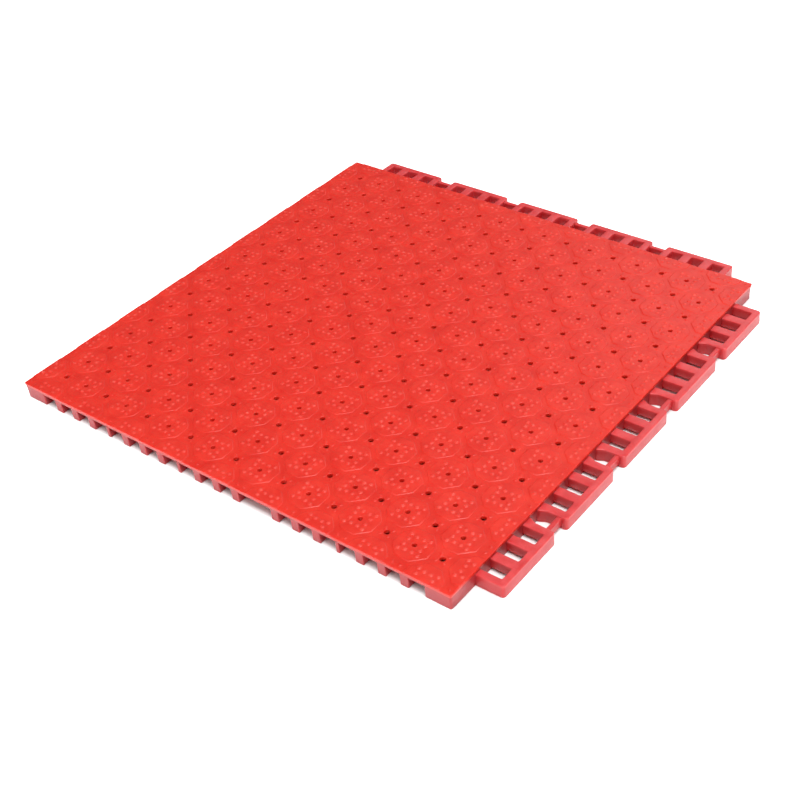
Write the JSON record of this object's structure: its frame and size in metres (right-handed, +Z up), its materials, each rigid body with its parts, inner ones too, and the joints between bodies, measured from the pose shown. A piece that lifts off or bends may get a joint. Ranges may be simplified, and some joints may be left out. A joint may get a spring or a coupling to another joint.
{
  "type": "interlocking anti-fatigue floor tile",
  "caption": "Square soft vinyl floor tile with drainage holes and a dotted octagon tread, lug strips with sockets on the right and back edges and pegs on the front and left.",
  "frame": {"origin": "under the middle of the whole outline, lug strips included, on the plane that the tile stands on", "axes": "+Z up through the tread; the lug strips with sockets are on the +X and +Y edges, the pegs on the -X and -Y edges"},
  "size_m": [0.4172, 0.4172, 0.014],
  "materials": {
    "tread_vinyl": "satin, fine moulded texture",
    "edge_vinyl": "satin",
    "lug_vinyl": "satin, glossier than the tread",
    "underside_vinyl": "matte"
  },
  "bodies": {
    "root": {"tread_deck": "tread_vinyl", "foot_row_1": "underside_vinyl", "foot_row_2": "underside_vinyl", "foot_row_3": "underside_vinyl", "foot_row_4": "underside_vinyl", "foot_row_5": "underside_vinyl", "foot_row_6": "underside_vinyl", "foot_row_7": "underside_vinyl", "foot_row_8": "underside_vinyl", "foot_row_9": "underside_vinyl", "foot_row_10": "underside_vinyl", "foot_row_11": "underside_vinyl", "foot_row_12": "underside_vinyl", "foot_row_13": "underside_vinyl", "foot_row_14": "underside_vinyl", "foot_row_15": "underside_vinyl", "foot_row_16": "underside_vinyl", "right_edge_wall": "edge_vinyl", "back_edge_wall": "edge_vinyl", "front_right_corner_wall": "edge_vinyl", "back_left_corner_wall": "edge_vinyl", "front_left_corner_wall": "edge_vinyl", "front_peg_group_1": "edge_vinyl", "front_peg_group_2": "edge_vinyl", "front_peg_group_3": "edge_vinyl", "front_peg_group_4": "edge_vinyl", "front_peg_group_5": "edge_vinyl", "front_slim_peg_1": "edge_vinyl", "front_slim_peg_2": "edge_vinyl", "front_slim_peg_3": "edge_vinyl", "left_peg_group_1": "edge_vinyl", "left_peg_group_2": "edge_vinyl", "left_peg_group_3": "edge_vinyl", "left_peg_group_4": "edge_vinyl", "left_peg_group_5": "edge_vinyl", "left_slim_peg_1": "edge_vinyl", "left_slim_peg_2": "edge_vinyl", "left_slim_peg_3": "edge_vinyl", "right_lug_tab_1": "lug_vinyl", "right_lug_tab_2": "lug_vinyl", "right_lug_tab_3": "lug_vinyl", "right_lug_tab_4": "lug_vinyl", "right_lug_tab_5": "lug_vinyl", "right_lug_link_1": "lug_vinyl", "right_lug_link_2": "lug_vinyl", "right_lug_link_3": "lug_vinyl", "right_lug_link_4": "lug_vinyl", "back_lug_tab_1": "lug_vinyl", "back_lug_tab_2": "lug_vinyl", "back_lug_tab_3": "lug_vinyl", "back_lug_tab_4": "lug_vinyl", "back_lug_tab_5": "lug_vinyl", "back_lug_link_1": "lug_vinyl", "back_lug_link_2": "lug_vinyl", "back_lug_link_3": "lug_vinyl", "back_lug_link_4": "lug_vinyl"}
  },
  "joints": []
}
